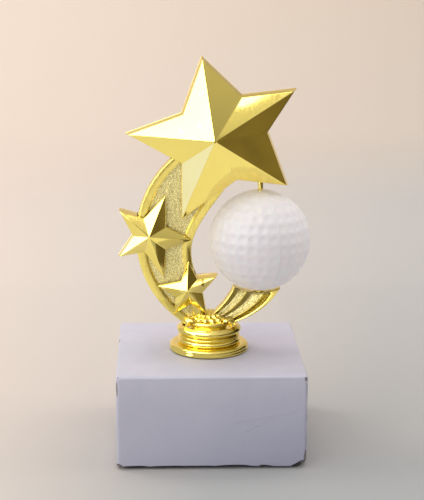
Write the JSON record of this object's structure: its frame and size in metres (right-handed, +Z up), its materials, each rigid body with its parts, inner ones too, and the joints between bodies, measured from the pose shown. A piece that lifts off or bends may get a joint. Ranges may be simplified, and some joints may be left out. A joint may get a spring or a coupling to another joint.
{
  "type": "star trophy",
  "caption": "Plated award figure: faceted stars on a crescent, a ribbon tail and a dimpled ball that spins on pins, on a turned foot and a square block.",
  "frame": {"origin": "centre of the underside of the bounding box, on the felt pad's lower plane; the foot's axis stands 1.92 mm towards -X from it", "axes": "+Z up, -Y towards the front of the figure, +X towards the ball"},
  "size_m": [0.08, 0.0762, 0.1616],
  "materials": {
    "block": "honed lavender-grey, satin",
    "felt": "black felt",
    "zinc": "zinc plated",
    "brass_insert": "plain turned",
    "foot_gold": "gold vacuum plating, mirror bright",
    "collar_gold": "gold vacuum plating, mirror bright",
    "crescent_gold": "gold plating: bright rims, stippled sunk panel",
    "ribbon_gold": "gold plating: bright ribs, stippled channels",
    "star_gold": "gold vacuum plating, mirror bright facets",
    "pin_gold": "gold plated pin",
    "ball_white": "glossy white, dimpled"
  },
  "bodies": {
    "trophy": {"base_block": "block", "base_pad": "felt", "tie_rod": "zinc", "washer": "zinc", "hex_nut": "zinc", "foot": "foot_gold", "foot_insert": "brass_insert", "leaf_collar": "collar_gold", "crescent_front": "crescent_gold", "crescent_back": "crescent_gold", "ribbon_front": "ribbon_gold", "ribbon_back": "ribbon_gold", "big_star_front": "star_gold", "big_star_back": "star_gold", "medium_star_front": "star_gold", "medium_star_back": "star_gold", "small_star_front": "star_gold", "small_star_back": "star_gold", "upper_pivot": "pin_gold", "lower_pivot": "pin_gold"},
    "ball": {"ball_half_left": "ball_white", "ball_half_right": "ball_white"}
  },
  "joints": [
    {"name": "ball_spin", "type": "hinge", "parent": "trophy", "child": "ball", "pos_m": [0.01888, 0, 0.0856], "axis": [0, 0, 1], "continuous": true}
  ]
}
